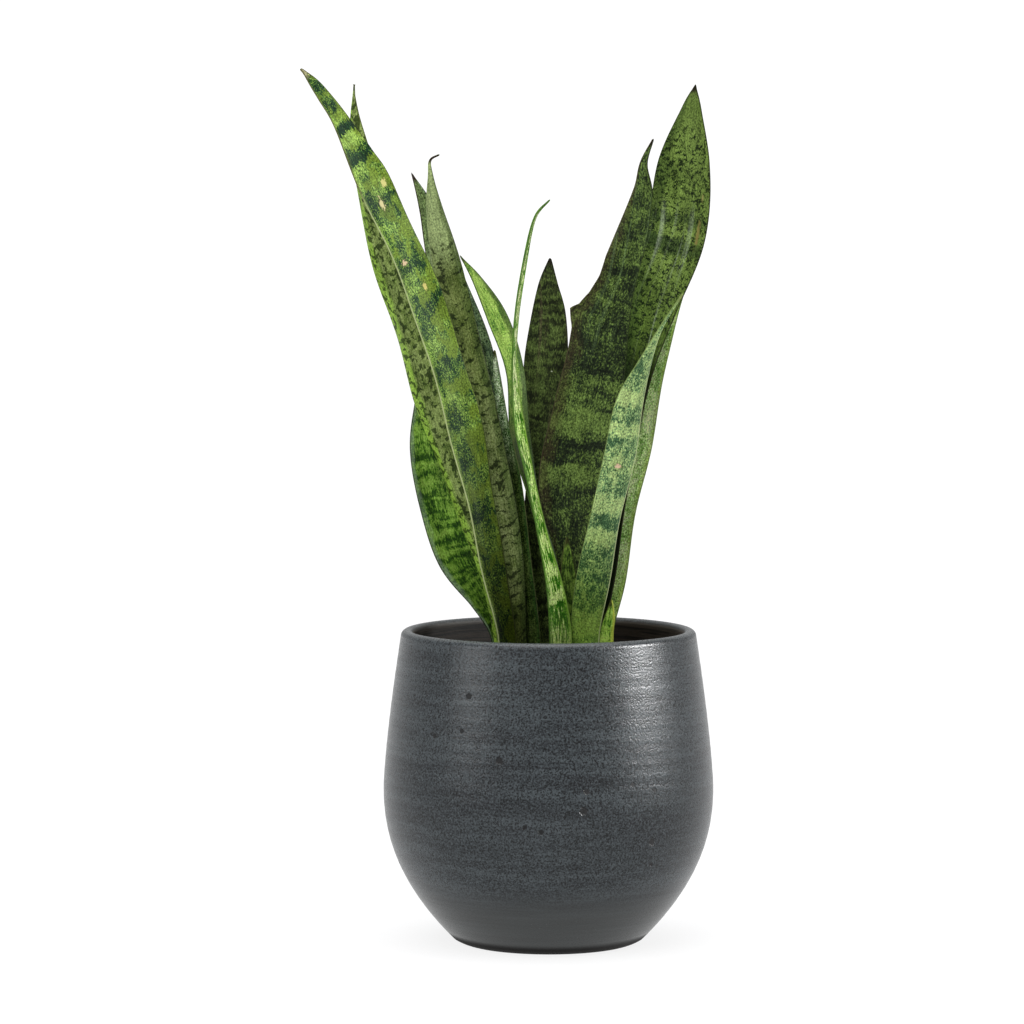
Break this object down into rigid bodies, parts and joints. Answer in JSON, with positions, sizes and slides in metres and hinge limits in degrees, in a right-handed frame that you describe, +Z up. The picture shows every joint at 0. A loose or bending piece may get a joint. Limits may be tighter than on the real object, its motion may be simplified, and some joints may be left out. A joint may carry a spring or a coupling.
{
  "type": "potted zeylanica snake plant",
  "caption": "Zeylanica snake plant with upright, sword-shaped, cross-banded green leaves in a round, matte anthracite stoneware cover pot.",
  "frame": {"origin": "centre of the pot's flat foot, on the surface that it stands on", "axes": "+Z up; the side shown in the picture looks along -Y; +X to its right"},
  "size_m": [0.2782, 0.2264, 0.5954],
  "materials": {
    "stoneware": "matte",
    "potting_mix": "matte",
    "rhizome_skin": "matte",
    "leaf_green": "satin",
    "leaf_dark": "satin",
    "leaf_bright": "satin",
    "leaf_pale": "satin"
  },
  "bodies": {
    "root": {"pot": "stoneware", "soil": "potting_mix", "rhizome": "rhizome_skin", "leaf_tall_left": "leaf_green", "leaf_tall_left_rear": "leaf_green", "leaf_curled_tip": "leaf_pale", "leaf_left_olive": "leaf_dark", "leaf_small_centre": "leaf_green", "leaf_arching": "leaf_bright", "leaf_thin_front": "leaf_bright", "leaf_rear_centre": "leaf_dark", "leaf_broad_right": "leaf_dark", "leaf_channelled_right": "leaf_green", "leaf_front_right": "leaf_pale", "leaf_outer_right": "leaf_green", "leaf_low_left": "leaf_green", "leaf_short_centre": "leaf_dark", "leaf_short_right": "leaf_bright"}
  },
  "joints": []
}
